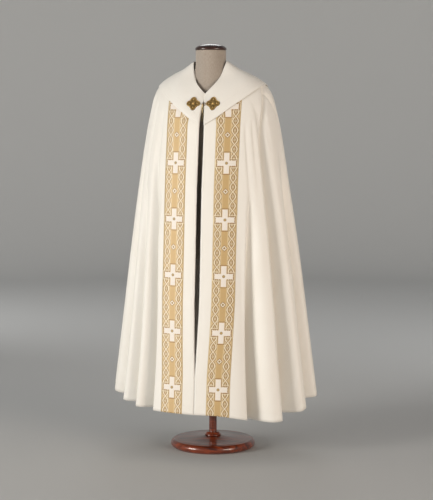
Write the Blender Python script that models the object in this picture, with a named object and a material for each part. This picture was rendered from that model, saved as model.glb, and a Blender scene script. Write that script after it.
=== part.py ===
"""Cope on a limbless dress form and turned wooden stand.

Metres, +Z up.  The wearer faces -Y and the wearer's left is +X.  The origin is the centre of the
underside of the stand's base.  The cope is a half circle of cloth: its straight side makes the two
front edges, and the fullness falls in organ-pipe folds.  Its surface is worked out from a short table
of rings (the cloth's front, side and back line) and a table of folds for each half.
"""

import math

import bmesh
import bpy
from mathutils import Matrix, Vector

# ---------------------------------------------------------------------------------------------------
# Driving dimensions
# ---------------------------------------------------------------------------------------------------

SEAM_GAP = 0.0003            # between any two pieces that meet
CLOTH_WALL = 0.002           # cope and shoulder collar
BAND_WALL = 0.001            # orphrey bands
COLLAR_LIFT = 0.0034         # inner face of the collar above the cope, clear of the bands
BAND_INSET = 0.050           # front edge of the cope to the band
BAND_WIDTH = 0.094

LEFT, RIGHT = 1, -1          # the wearer's sides, as signs of X

NECK_CENTRE_Y = -0.026
NECK_TOP = 1.637
CAP_RADIUS = 0.064
CAP_HEIGHT = 0.027
CAP_FOOT = 0.006             # upright edge of the cap, below its dome

BASE_RADIUS = 0.175
BASE_THICKNESS = 0.034
BASE_TOP = 0.062             # top of the boss that holds the pole
POLE_RADIUS = 0.016

CLASP_HEIGHT = 1.419         # centre of the two plates
CLASP_SPREAD = 0.0415        # each plate's centre from the middle
PLATE_REACH = 0.0290         # plate's centre to its points
LOBE_REACH, LOBE_RADIUS, LOBE_NOTCH = 0.60, 0.40, 0.74   # shares of the plate's reach
PLATE_WALL = 0.0024
PLATE_LIFT = 0.0012          # back of a plate above the collar's curved surface
WIRE_RADIUS = 0.0009         # hook and eye
EYE_STAND_OFF = 0.0070       # the eye in front of the collar at the middle
EYE_X, EYE_RADIUS = 0.0066, 0.0050
HOOK_REACH = 0.0028          # the hook's shank in front of the eye
HOOK_X = -0.0015             # where the chain hangs on the shank
LINK_WIRE_RADIUS = 0.0008
LINK_HALF_LENGTH = 0.0066    # to the wire's centre line
LINK_HALF_WIDTH = 0.0032
LINK_COUNT = 6
LINK_PLAY = 0.0002           # between two links, and between the first link and the hook

# The cope from neckline to hem, one ring a row: the points of its front, side and back line.
COPE_RINGS = (
    # front y, front z,  side x, side y, side z,  back y, back z
    (-0.096, 1.456,  0.067, -0.028, 1.588,  0.046, 1.588),
    (-0.119, 1.415,  0.112, -0.025, 1.558,  0.078, 1.553),
    (-0.137, 1.370,  0.155, -0.018, 1.538,  0.100, 1.512),
    (-0.147, 1.325,  0.196, -0.010, 1.515,  0.118, 1.468),
    (-0.152, 1.280,  0.230, -0.002, 1.487,  0.134, 1.420),
    (-0.158, 1.230,  0.250,  0.003, 1.451,  0.147, 1.365),
    (-0.165, 1.170,  0.263,  0.006, 1.402,  0.158, 1.300),
    (-0.176, 1.080,  0.282,  0.009, 1.315,  0.172, 1.200),
    (-0.186, 0.940,  0.309,  0.012, 1.160,  0.192, 1.040),
    (-0.197, 0.770,  0.341,  0.014, 0.955,  0.214, 0.850),
    (-0.211, 0.590,  0.371,  0.016, 0.745,  0.236, 0.650),
    (-0.231, 0.385,  0.403,  0.018, 0.500,  0.260, 0.430),
    (-0.250, 0.178,  0.437,  0.020, 0.238,  0.285, 0.220),
)
HEM = len(COPE_RINGS) - 1

# The form from the top of its neck to its underside.
FORM_RINGS = (
    # front y, front z,  side x, side y, side z,  back y, back z
    (-0.0875, 1.637,  0.0615, -0.026, 1.637,  0.0355, 1.637),
    (-0.0875, 1.605,  0.0615, -0.026, 1.608,  0.0355, 1.608),
    (-0.0870, 1.550,  0.0620, -0.026, 1.583,  0.0370, 1.586),
    (-0.0860, 1.490,  0.0700, -0.025, 1.561,  0.0500, 1.566),
    (-0.0860, 1.430,  0.1060, -0.021, 1.545,  0.0700, 1.545),
    (-0.0960, 1.385,  0.1510, -0.016, 1.527,  0.0920, 1.503),
    (-0.1100, 1.350,  0.1890, -0.010, 1.505,  0.1080, 1.458),
    (-0.1190, 1.310,  0.2090, -0.004, 1.480,  0.1160, 1.410),
    (-0.1210, 1.250,  0.2130,  0.000, 1.440,  0.1200, 1.350),
    (-0.1180, 1.190,  0.2010,  0.000, 1.375,  0.1180, 1.285),
    (-0.1110, 1.120,  0.1790,  0.000, 1.270,  0.1100, 1.185),
    (-0.1050, 1.050,  0.1600,  0.000, 1.150,  0.1000, 1.085),
    (-0.1050, 0.990,  0.1550,  0.000, 1.040,  0.1000, 1.000),
    (-0.1110, 0.920,  0.1650,  0.000, 0.945,  0.1080, 0.925),
    (-0.1140, 0.855,  0.1720,  0.000, 0.860,  0.1140, 0.855),
    (-0.1100, 0.810,  0.1660,  0.000, 0.810,  0.1100, 0.810),
    (-0.0950, 0.790,  0.1480,  0.000, 0.790,  0.0950, 0.790),
)

# Valleys between the pipes, counted from the front.  Angles are in degrees from the front line.
LEFT_FOLDS = (
    # hem angle, top angle, depth, sharpness, height where the valley starts
    (35.0,  46.0, 0.155, 2.0, 1.10),
    (61.0,  58.0, 0.130, 2.1, 1.47),
    (80.0,  82.0, 0.115, 1.9, 1.33),
    (102.0, 104.0, 0.125, 2.2, 1.38),
    (123.0, 124.0, 0.115, 1.9, 1.30),
    (143.0, 143.0, 0.130, 2.1, 1.22),
    (163.0, 163.0, 0.110, 1.9, 1.12),
)
RIGHT_FOLDS = (
    (30.0,  50.0, 0.130, 1.8, 1.30),
    (44.0,  62.0, 0.085, 1.7, 1.20),
    (56.5,  73.0, 0.095, 1.8, 1.36),
    (77.0,  86.0, 0.125, 2.1, 1.28),
    (99.0, 104.0, 0.115, 2.0, 1.40),
    (121.0, 122.0, 0.130, 2.2, 1.30),
    (143.0, 143.0, 0.115, 1.9, 1.20),
    (163.0, 163.0, 0.125, 2.0, 1.10),
)
FIRST_VALLEY_REACH = 6.5     # degrees from the flat front panel to the first valley

# Where the hem dips or rises from the even curve of the rings.
HEM_SHIFTS = (
    # centre angle (+ is the wearer's left), half width, shift
    (52.0, 46.0, -0.060),
    (-40.0, 34.0, -0.012),
    (-86.0, 30.0, 0.008),
)

# Width of the opening between the two front edges, by height.
OPENING = (
    # height, width
    (1.460, 0.0020),
    (1.432, 0.0030),
    (1.412, 0.0110),
    (1.380, 0.0160),
    (1.320, 0.0200),
    (0.620, 0.0200),
    (0.480, 0.0120),
    (0.330, 0.0010),
    (0.150, 0.0010),
)

# Lower edge of the shoulder collar, straight from point to point.
COLLAR_FRONT_EDGE = (
    # x, height
    (0.000, 1.334),
    (0.055, 1.361),
    (0.143, 1.424),
    (0.240, 1.505),
)
COLLAR_BACK_EDGE = (
    (0.000, 1.290),
    (0.240, 1.505),
)


# ---------------------------------------------------------------------------------------------------
# Reading the tables
# ---------------------------------------------------------------------------------------------------

def step_between(rows, key):
    """Straight interpolation in rows of (key, value), in rising or falling order of key."""
    rising = rows[0][0] < rows[-1][0]
    ordered = rows if rising else tuple(reversed(rows))
    key = min(max(key, ordered[0][0]), ordered[-1][0])
    for low, high in zip(ordered, ordered[1:]):
        if key <= high[0]:
            share = (key - low[0]) / (high[0] - low[0])
            return low[1] + (high[1] - low[1]) * share
    return ordered[-1][1]


def ring_at(rings, level):
    """A smooth curve through the rows of a ring table, read at a level between its rows."""
    last = len(rings) - 1
    level = min(max(level, 0.0), float(last))
    here = min(int(level), last - 1)
    share = level - here
    before, start = rings[max(here - 1, 0)], rings[here]
    end, after = rings[here + 1], rings[min(here + 2, last)]
    values = []
    for a, b, c, d in zip(before, start, end, after):
        slope_in, slope_out = (c - a) / 2, (d - b) / 2
        values.append(
            b + slope_in * share
            + (3 * (c - b) - 2 * slope_in - slope_out) * share ** 2
            + (2 * (b - c) + slope_in + slope_out) * share ** 3
        )
    return values


def ring_point(rings, level, angle, neck_share=0.0):
    """Point of a ring at an angle from the front line; neck_share 1 gives the V of the neckline."""
    front_y, front_z, side_x, side_y, side_z, back_y, back_z = ring_at(rings, level)
    forward, sideways = math.cos(angle), math.sin(angle)
    end_y, end_z = (front_y, front_z) if forward >= 0 else (back_y, back_z)
    round_share = forward ** 2
    side = abs(sideways)
    vee_share = 1 - 0.58 * side - 0.42 * side ** 14
    if forward < 0:
        vee_share = round_share
    end_share = round_share + (vee_share - round_share) * neck_share
    return Vector((
        side_x * sideways,
        side_y + (end_y - side_y) * abs(forward),
        side_z + (end_z - side_z) * end_share,
    ))


# ---------------------------------------------------------------------------------------------------
# The cope's surface
# ---------------------------------------------------------------------------------------------------

NECK_LEVELS = 2.2            # the V of the neckline fades out over this many rings
LEAN_TOP = 1.45              # height of the side line where the valleys lie at their top angles
DEEPEST_AT = 0.2             # height where a valley has its whole depth
SHOULDER_WIDTH = 0.2         # the front edges draw together above where the cloth is this wide
NARROW_SPREAD = 0.35


def smooth_cloth(level, angle):
    """The cope's outer surface before its folds."""
    neck_share = max(0.0, 1 - level / NECK_LEVELS) ** 1.5
    point = ring_point(COPE_RINGS, level, angle, neck_share)
    degrees = math.degrees(angle)
    lowness = (level / HEM) ** 3
    for centre, half_width, shift in HEM_SHIFTS:
        reach = abs(degrees - centre) / half_width
        if reach < 1:
            point.z += shift * lowness * (1 + math.cos(math.pi * reach)) / 2
    return point


def fold_angles(folds, level):
    """Angles of crest, valley, crest ... at a level, from the flat panel to the centre back."""
    side_z = ring_at(COPE_RINGS, level)[4]
    hem_z = COPE_RINGS[HEM][4]
    lean = min(max((side_z - hem_z) / (LEAN_TOP - hem_z), 0.0), 1.0) ** 2
    valleys = [hem + (top - hem) * lean for hem, top, _, _, _ in folds]
    angles = [valleys[0] - FIRST_VALLEY_REACH]
    for valley, following in zip(valleys, valleys[1:] + [None]):
        crest = 180.0 if following is None else (valley + following) / 2
        angles += [valley, crest]
    return angles


def fold_depth(folds, pipe, height):
    """How far the cloth is drawn in at a place counted in pipes: 0 is the panel, 0.5 a valley."""
    number = min(int(pipe), len(folds) - 1)
    _, _, depth, sharpness, start = folds[number]
    fall = (start - height) / (start - DEEPEST_AT)
    if fall <= 0 or pipe < 0:
        return 0.0
    growth = fall * fall / (fall + 0.10) * 1.10
    across = (1 - math.cos(2 * math.pi * (pipe - number))) / 2
    return depth * growth * across ** sharpness


def cope_angle(folds, level, place):
    """Angle from the front line at a place across one half, on either side.

    place 0 to 1 runs from the front edge to the band, 1 to 2 across the band, 2 to 3 over the flat
    cloth beyond it, and from 3 on it counts the pipes.
    """
    _, front_z, side_x = ring_at(COPE_RINGS, level)[:3]
    half_opening = step_between(OPENING, front_z) / 2
    across = BAND_INSET * min(place, 1.0) + BAND_WIDTH * min(max(place - 1.0, 0.0), 1.0)
    widest = side_x + NARROW_SPREAD * max(0.0, SHOULDER_WIDTH - side_x)
    at_band = math.asin(min((half_opening + across) / widest, 0.97))
    if place <= 2:
        return at_band
    turns = fold_angles(folds, level)
    stops = [math.degrees(at_band)]
    stops.append(max(turns[0], stops[0] + 1.5))
    stops += [max(turn, stops[1] + 2.0 + number) for number, turn in enumerate(turns[1:])]
    # stops: band edge, first crest, valley, crest ...; a pipe is two stops wide
    run = (place - 2) if place <= 3 else 1 + (place - 3) * 2
    first = min(int(run), len(stops) - 2)
    return math.radians(stops[first] + (stops[first + 1] - stops[first]) * (run - first))


def cope_point(side, folds, level, place):
    """Outer surface of one half; side is LEFT or RIGHT."""
    point = smooth_cloth(level, side * cope_angle(folds, level, place))
    drawn_in = fold_depth(folds, place - 3, point.z)
    shrink = 1 - drawn_in / math.hypot(point.x, point.y)
    return Vector((point.x * shrink, point.y * shrink, point.z))


def normal_of(surface, level, place, side):
    """Outward normal of a surface given as surface(level, place)."""
    small = 0.02
    down = surface(level + small, place) - surface(level - small, place)
    along = surface(level, place + small) - surface(level, place - small)
    return (along.cross(down) * -side).normalized()


# ---------------------------------------------------------------------------------------------------
# Making objects
# ---------------------------------------------------------------------------------------------------

def material(name, colour, roughness, metallic=0.0):
    made = bpy.data.materials.new(name)
    made.use_nodes = True
    shader = made.node_tree.nodes["Principled BSDF"]
    shader.inputs["Base Color"].default_value = (*colour, 1.0)
    shader.inputs["Roughness"].default_value = roughness
    shader.inputs["Metallic"].default_value = metallic
    return made


def finish(name, bm, finish_material, smooth_angle=40.0):
    mesh = bpy.data.meshes.new(name)
    bm.to_mesh(mesh)
    bm.free()
    mesh.materials.append(finish_material)
    mesh.shade_smooth()
    mesh.set_sharp_from_angle(angle=math.radians(smooth_angle))
    made = bpy.data.objects.new(name, mesh)
    bpy.context.scene.collection.objects.link(made)
    return made


def cloth_wall(name, levels, places, outer_and_inner, finish_material):
    """A cloth wall: a grid whose points are put on the outer face, thickened to the inner face."""
    bm = bmesh.new()
    bmesh.ops.create_grid(bm, x_segments=len(places) - 1, y_segments=len(levels) - 1, size=0.5)
    inner_places = {}
    for vert in bm.verts:
        column = round((vert.co.x + 0.5) * (len(places) - 1))
        row = round((vert.co.y + 0.5) * (len(levels) - 1))
        outer, inner = outer_and_inner(levels[row], places[column])
        vert.co = outer
        inner_places[outer.to_tuple(7)] = inner
    skin = bmesh.ops.extrude_face_region(bm, geom=bm.faces[:], use_keep_orig=True)
    for item in skin["geom"]:
        if isinstance(item, bmesh.types.BMVert):
            item.co = inner_places[item.co.to_tuple(7)]
    bmesh.ops.recalc_face_normals(bm, faces=bm.faces[:])
    return finish(name, bm, finish_material)


def turned(name, outline, centre, finish_material, steps=40):
    """A turned piece: an outline of (radius, height) from axis to axis, spun about +Z."""
    bm = bmesh.new()
    verts = [bm.verts.new((radius, 0.0, height)) for radius, height in outline]
    edges = [bm.edges.new(pair) for pair in zip(verts, verts[1:])]
    bmesh.ops.spin(
        bm, geom=verts + edges, cent=(0, 0, 0), axis=(0, 0, 1), angle=math.tau, steps=steps,
        use_merge=True,
    )
    bmesh.ops.remove_doubles(bm, verts=bm.verts[:], dist=1e-6)
    bmesh.ops.recalc_face_normals(bm, faces=bm.faces[:])
    bmesh.ops.translate(bm, verts=bm.verts[:], vec=centre)
    return finish(name, bm, finish_material)


# ---------------------------------------------------------------------------------------------------
# The pieces
# ---------------------------------------------------------------------------------------------------

COPE_LEVELS = [0.3, 1, 1.75, 2.5, 3.25, 4, 5, 6, 7, 8, 9, 10, 11, 12]
PIPE_COLUMNS = (0.0, 0.18, 0.31, 0.41, 0.50, 0.59, 0.69, 0.82)      # closest in the valley


def cope_places(folds):
    places = [0.0, 0.5, 1.0, 1.5, 2.0, 2.5]
    for pipe in range(len(folds)):
        places += [3 + pipe + column for column in PIPE_COLUMNS]
    return places + [3.0 + len(folds)]


def make_cope_half(name, side, folds, colour):
    def surface(level, place):
        return cope_point(side, folds, level, place)

    back = 3.0 + len(folds)

    def wall(level, place):
        outer = surface(level, place)
        normal = normal_of(surface, level, min(place, back - 0.02), side)
        if place >= back:
            outer.x = side * SEAM_GAP / 2
            normal = Vector((0.0, normal.y, normal.z)).normalized()
        return outer, outer - normal * CLOTH_WALL

    return cloth_wall(name, COPE_LEVELS, cope_places(folds), wall,
                      material(name + "_satin", colour, 0.5))


def make_orphrey(name, side, folds, colour):
    """A band laid on the cope: the cope's own points between places 1 and 2, moved out."""
    def surface(level, place):
        return cope_point(side, folds, level, place)

    def wall(level, place):
        under = surface(level, place)
        normal = normal_of(surface, level, place, side)
        return under + normal * (SEAM_GAP + BAND_WALL), under + normal * SEAM_GAP

    levels = [level for level in COPE_LEVELS if level > 1.5]
    return cloth_wall(name, levels, [1.0, 1.5, 2.0], wall,
                      material(name + "_brocade", colour, 0.45))


def collar_edge_level(angle):
    """Level of the cope at which the collar's lower edge lies, found by halving."""
    edge = COLLAR_FRONT_EDGE if math.cos(angle) >= 0 else COLLAR_BACK_EDGE
    low, high = 0.3, 7.0
    for _ in range(30):
        middle = (low + high) / 2
        point = smooth_cloth(middle, angle)
        if point.z > step_between(edge, abs(point.x)):
            low = middle
        else:
            high = middle
    return low


def collar_face(level, angle):
    """Point of the smooth cope and its outward normal, by the angle round from the front line."""
    small = 0.01
    down = smooth_cloth(level + small, angle) - smooth_cloth(level - small, angle)
    along = smooth_cloth(level, angle + small) - smooth_cloth(level, angle - small)
    return smooth_cloth(level, angle), down.cross(along).normalized()


def make_collar(colour):
    """Neckline to edge in rows; round from one front edge, past the centre back, to the other."""
    def wall(share, turn):
        level = collar_edge_level(math.tau * turn) * share
        half_opening = step_between(OPENING, smooth_cloth(level, 0.0).z) / 2
        closest = math.asin(half_opening / ring_at(COPE_RINGS, level)[2])
        under, normal = collar_face(level, closest + (math.tau - 2 * closest) * turn)
        return under + normal * (COLLAR_LIFT + CLOTH_WALL), under + normal * COLLAR_LIFT

    shares = [row / 6 for row in range(7)]
    turns = [column / 44 for column in range(45)]
    return cloth_wall("shoulder_collar", shares, turns, wall,
                      material("collar_satin", colour, 0.5))


def make_form(colour):
    """Neck and torso: a grid bent round through the form's rings, closed along its seam and ends."""
    around, down = 28, len(FORM_RINGS) - 1
    bm = bmesh.new()
    bmesh.ops.create_grid(bm, x_segments=around, y_segments=down, size=0.5)
    for vert in bm.verts:
        turn = vert.co.x + 0.5
        level = (vert.co.y + 0.5) * down
        vert.co = ring_point(FORM_RINGS, level, turn * math.tau)
    bmesh.ops.remove_doubles(bm, verts=bm.verts[:], dist=1e-6)
    bmesh.ops.holes_fill(bm, edges=bm.edges[:])
    bmesh.ops.recalc_face_normals(bm, faces=bm.faces[:])
    return finish("form_torso", bm, material("form_linen", colour, 0.85))


def make_stand(colour):
    wood = material("stand_wood", colour, 0.25)
    rim = BASE_THICKNESS / 2
    outline = [(0.0, 0.0), (BASE_RADIUS - rim, 0.0)]
    for step in range(1, 8):
        bend = math.pi * step / 8
        outline.append((BASE_RADIUS - rim + rim * math.sin(bend), rim - rim * math.cos(bend)))
    outline += [(BASE_RADIUS - rim, BASE_THICKNESS), (0.060, 0.040), (0.036, 0.046),
                (0.030, BASE_TOP), (0.0, BASE_TOP)]
    turned("stand_base", outline, (0, 0, 0), wood, steps=48)
    foot, top = BASE_TOP + SEAM_GAP, FORM_RINGS[-1][1] - SEAM_GAP
    turned("stand_pole", [(0, foot), (POLE_RADIUS, foot), (POLE_RADIUS, top), (0, top)],
           (0, 0, 0), material("pole_wood", colour, 0.3), steps=20)


def make_cap(colour):
    foot = NECK_TOP + SEAM_GAP
    outline = [(0.0, foot), (CAP_RADIUS - 0.004, foot), (CAP_RADIUS - 0.001, foot + 0.002),
               (CAP_RADIUS, foot + CAP_FOOT)]
    for step in range(1, 7):
        bend = math.pi / 2 * step / 6
        outline.append((CAP_RADIUS * math.cos(bend),
                        foot + CAP_FOOT + (CAP_HEIGHT - CAP_FOOT) * math.sin(bend)))
    outline[-1] = (0.0, foot + CAP_HEIGHT)
    turned("neck_cap", outline, (0, NECK_CENTRE_Y, 0), material("cap_wood", colour, 0.2), steps=32)


# ---------------------------------------------------------------------------------------------------
# The clasp
# ---------------------------------------------------------------------------------------------------

def collar_front_at(x, height):
    """Point and outward normal of the collar's outer face at x and a height, near the front."""
    low, high = 0.0, 4.0
    for _ in range(30):
        level = (low + high) / 2
        angle = math.asin(x / ring_at(COPE_RINGS, level)[2])
        if smooth_cloth(level, angle).z > height:
            low = level
        else:
            high = level
    under, normal = collar_face(level, angle)
    return under + normal * (COLLAR_LIFT + CLOTH_WALL), normal


def plate_edge(bend):
    """Outline of a plate, as a share of its reach: four round lobes on a small square."""
    off_axis = abs((bend + math.pi / 4) % (math.pi / 2) - math.pi / 4)
    half_chord = LOBE_RADIUS ** 2 - (LOBE_REACH * math.sin(off_axis)) ** 2
    return max(LOBE_REACH * math.cos(off_axis) + math.sqrt(max(half_chord, 0.0)), LOBE_NOTCH)


def make_plate(name, side, colour):
    """A cast plate with a lobe at each of its four points."""
    centre, normal = collar_front_at(side * CLASP_SPREAD, CLASP_HEIGHT)
    bm = bmesh.new()
    bmesh.ops.create_circle(bm, cap_ends=True, segments=48, radius=PLATE_REACH)
    for vert in bm.verts:
        vert.co *= plate_edge(math.atan2(vert.co.y, vert.co.x))
    face = bmesh.ops.extrude_face_region(bm, geom=bm.faces[:], use_keep_orig=True)
    raised = [item for item in face["geom"] if isinstance(item, bmesh.types.BMVert)]
    bmesh.ops.translate(bm, verts=raised, vec=(0, 0, PLATE_WALL))
    bmesh.ops.scale(bm, verts=raised, vec=(0.95, 0.95, 1.0))
    bmesh.ops.recalc_face_normals(bm, faces=bm.faces[:])
    across = Vector((0, 0, 1)).cross(normal).normalized()
    turn = Matrix((across, normal.cross(across), normal)).transposed().to_4x4()
    turn.translation = centre + normal * PLATE_LIFT
    bm.transform(turn)
    finish(name, bm, material(name + "_brass", colour, 0.45, 1.0), 30)


def make_wire(name, points, radius, closed, finish_material):
    curve = bpy.data.curves.new(name, "CURVE")
    curve.dimensions = "3D"
    curve.bevel_depth = radius
    curve.bevel_resolution = 2
    curve.use_fill_caps = not closed
    spline = curve.splines.new("POLY")
    spline.points.add(len(points) - 1)
    for spline_point, place in zip(spline.points, points):
        spline_point.co = (*place, 1.0)
    spline.use_cyclic_u = closed
    curve.materials.append(finish_material)
    made = bpy.data.objects.new(name, curve)
    bpy.context.scene.collection.objects.link(made)
    return made


def make_clasp(colour):
    make_plate("clasp_plate_left", LEFT, colour)
    make_plate("clasp_plate_right", RIGHT, colour)
    wire = material("clasp_wire_brass", colour, 0.4, 1.0)

    eye_y = collar_front_at(0.0, CLASP_HEIGHT)[0].y - EYE_STAND_OFF
    eye = []
    for step in range(16):
        bend = math.tau * step / 16
        eye.append((EYE_X + EYE_RADIUS * math.cos(bend), eye_y,
                    CLASP_HEIGHT + EYE_RADIUS * math.sin(bend)))
    make_wire("clasp_eye", eye, WIRE_RADIUS, True, wire)

    # The hook runs in front of the eye's near side, through the eye and back behind that side.
    held_x = EYE_X - EYE_RADIUS
    front_y = eye_y - HOOK_REACH
    hook = [(PLATE_REACH - CLASP_SPREAD + SEAM_GAP, front_y, CLASP_HEIGHT),
            (-0.006, front_y, CLASP_HEIGHT), (-0.002, front_y, CLASP_HEIGHT)]
    for step in range(9):
        bend = math.pi * step / 8
        hook.append((held_x + HOOK_REACH * math.sin(bend), eye_y - HOOK_REACH * math.cos(bend),
                     CLASP_HEIGHT))
    make_wire("clasp_hook", hook, WIRE_RADIUS, False, wire)

    # The chain hangs from the hook's straight shank, its links turned a quarter one to the next.
    pitch = 2 * LINK_HALF_LENGTH - 2 * LINK_WIRE_RADIUS - LINK_PLAY
    first_drop = LINK_HALF_LENGTH - WIRE_RADIUS - LINK_WIRE_RADIUS - LINK_PLAY
    bend_centre = LINK_HALF_LENGTH - LINK_HALF_WIDTH
    for number in range(LINK_COUNT):
        middle_z = CLASP_HEIGHT - first_drop - number * pitch
        in_front = number % 2 == 0
        link = []
        for end in (1, -1):
            for step in range(7):
                bend = math.pi * step / 6
                width = LINK_HALF_WIDTH * math.cos(bend) * end
                height = (bend_centre + LINK_HALF_WIDTH * math.sin(bend)) * end
                link.append((HOOK_X + (0 if in_front else width),
                             front_y + (width if in_front else 0), middle_z + height))
        make_wire(f"chain_link_{number + 1}", link, LINK_WIRE_RADIUS, True, wire)


bpy.context.scene.unit_settings.system = "METRIC"
for leftover in list(bpy.data.objects):
    bpy.data.objects.remove(leftover, do_unlink=True)

IVORY = (0.87, 0.82, 0.73)
GOLD = (0.66, 0.50, 0.25)
make_cope_half("cope_left_half", LEFT, LEFT_FOLDS, IVORY)
make_cope_half("cope_right_half", RIGHT, RIGHT_FOLDS, IVORY)
make_orphrey("orphrey_left", LEFT, LEFT_FOLDS, GOLD)
make_orphrey("orphrey_right", RIGHT, RIGHT_FOLDS, GOLD)
make_collar(IVORY)
make_clasp((0.42, 0.29, 0.10))
make_form((0.36, 0.29, 0.24))
make_stand((0.20, 0.05, 0.02))
make_cap((0.06, 0.02, 0.01))
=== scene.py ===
"""Looks of a cope vestment on a limbless dress form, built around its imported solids.

The sections follow the order in which the real things are put together: the form on its stand, the
cope's two halves, the orphrey bands, the shoulder collar, the clasp with its chain, then the room.
"""

import math

import bmesh
import bpy
from mathutils import Matrix, Vector


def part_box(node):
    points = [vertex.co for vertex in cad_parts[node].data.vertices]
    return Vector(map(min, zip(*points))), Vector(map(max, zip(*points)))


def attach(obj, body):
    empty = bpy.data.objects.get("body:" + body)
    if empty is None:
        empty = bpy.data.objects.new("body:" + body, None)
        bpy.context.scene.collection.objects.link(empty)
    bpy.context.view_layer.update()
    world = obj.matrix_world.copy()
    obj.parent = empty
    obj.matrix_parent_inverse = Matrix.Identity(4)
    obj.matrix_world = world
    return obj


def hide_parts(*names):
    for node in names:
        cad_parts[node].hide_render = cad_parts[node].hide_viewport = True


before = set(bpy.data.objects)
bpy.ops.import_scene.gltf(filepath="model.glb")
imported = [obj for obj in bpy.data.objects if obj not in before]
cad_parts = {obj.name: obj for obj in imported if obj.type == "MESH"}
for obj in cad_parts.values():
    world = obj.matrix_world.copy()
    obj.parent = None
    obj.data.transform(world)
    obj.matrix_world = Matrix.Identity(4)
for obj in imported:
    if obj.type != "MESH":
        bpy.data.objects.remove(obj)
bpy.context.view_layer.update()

# ---------------------------------------------------------------------------------------------------
# Stand: a turned beech base and pole, stained reddish brown and varnished.
# Each is one outline spun on the lathe's axis. The base's underside is flat on the floor, and its
# thick rim is a half round.
# ---------------------------------------------------------------------------------------------------


def linear(colour):
    """An sRGB hex colour, such as "8a3a1c", as linear RGBA."""
    channels = [int(colour[start:start + 2], 16) / 255 for start in (0, 2, 4)]
    return tuple(c / 12.92 if c <= 0.04045 else ((c + 0.055) / 1.055) ** 2.4 for c in channels) + (1.0,)


def add(tree, kind, links=None, **settings):
    """Adds one node; links maps an input's name or number to a value or to another node's output."""
    node = tree.nodes.new(kind)
    for key, value in settings.items():
        setattr(node, key, value)
    for key, value in (links or {}).items():
        if isinstance(value, bpy.types.NodeSocket):
            tree.links.new(value, node.inputs[key])
        else:
            node.inputs[key].default_value = value
    return node.outputs[0]


def new_material(name, roughness, **sockets):
    """A material, its node tree and its Principled shader, with plain values set on the shader."""
    made = bpy.data.materials.new(name)
    made.use_nodes = True
    shader = made.node_tree.nodes["Principled BSDF"]
    shader.inputs["Roughness"].default_value = roughness
    for key, value in sockets.items():
        shader.inputs[key.replace("_", " ")].default_value = value
    return made, made.node_tree, shader


def show(name, bm, finish, stands_for, body="garment", crease=35.0):
    """Turns a bmesh into a smooth-shaded piece that rides on a body and replaces CAD nodes."""
    mesh = bpy.data.meshes.new(name)
    bm.to_mesh(mesh)
    bm.free()
    mesh.materials.append(finish)
    mesh.shade_smooth()
    mesh.set_sharp_from_angle(angle=math.radians(crease))
    piece = bpy.data.objects.new(name, mesh)
    bpy.context.scene.collection.objects.link(piece)
    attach(piece, body)
    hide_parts(*stands_for)
    return piece


def turn_on_lathe(outline, steps, centre=(0, 0, 0)):
    """A bmesh of an outline of (radius, height), from axis to axis, spun about the upright axis."""
    bm = bmesh.new()
    points = [bm.verts.new((radius, 0, height)) for radius, height in outline]
    edges = [bm.edges.new(pair) for pair in zip(points, points[1:])]
    bmesh.ops.spin(bm, geom=points + edges, cent=(0, 0, 0), axis=(0, 0, 1), angle=math.tau,
                   steps=steps, use_merge=True)
    bmesh.ops.remove_doubles(bm, verts=bm.verts[:], dist=1e-6)
    bmesh.ops.recalc_face_normals(bm, faces=bm.faces[:])
    bmesh.ops.translate(bm, verts=bm.verts[:], vec=centre)
    return bm


def varnished_wood(name, dark, light, along_grain):
    """Stained wood under clear varnish: soft dark grain lines and fine pores below a sharp gloss.

    Across the grain its lines are about 16 mm apart and its pores 1.2 mm, as finer ones don't show.
    """
    made, tree, shader = new_material(name, 0.32, Coat_Weight=0.8, Coat_Roughness=0.07)
    where = tree.nodes.new("ShaderNodeTexCoord").outputs["Object"]
    stretched = add(tree, "ShaderNodeMapping", {"Vector": where, "Scale": along_grain})
    figure = add(tree, "ShaderNodeTexNoise",
                 {"Vector": stretched, "Scale": 9.0, "Detail": 5.0, "Distortion": 0.8})
    pores = add(tree, "ShaderNodeTexNoise", {"Vector": stretched, "Scale": 120.0, "Detail": 3.0})
    mixed = add(tree, "ShaderNodeMath", {0: pores, 1: 0.35, 2: figure}, operation="MULTIPLY_ADD")
    share = add(tree, "ShaderNodeMapRange", {"Value": mixed, "From Min": 0.48, "From Max": 0.90})
    stain = add(tree, "ShaderNodeMix", {"Factor": share, "A": linear(dark), "B": linear(light)},
                data_type="RGBA").node
    tree.links.new(stain.outputs["Result"], shader.inputs["Base Color"])
    grain = add(tree, "ShaderNodeBump", {"Height": pores, "Strength": 0.06, "Distance": 0.0003})
    tree.links.new(grain, shader.inputs["Normal"])
    return made


base_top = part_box("stand_base")[1][2]
BASE_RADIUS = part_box("stand_base")[1][0]
BASE_EDGE = 0.034                 # thickness of the half-round rim
GROOVE = 0.0012                   # cut in the top just inside the rim
BOSS_RADIUS = 0.030
BOSS_RISE = 0.012                 # the top's rise from the rim to the boss
BOSS_FILLET = 0.004               # radius of the hollow turned at its foot

# Beech, turned, stained and varnished: a deep reddish brown with soft grain lines and sharp highlights.
beech = varnished_wood("beech_stained_and_varnished", "3c1007", "98421f", (1.0, 7.0, 7.0))

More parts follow.
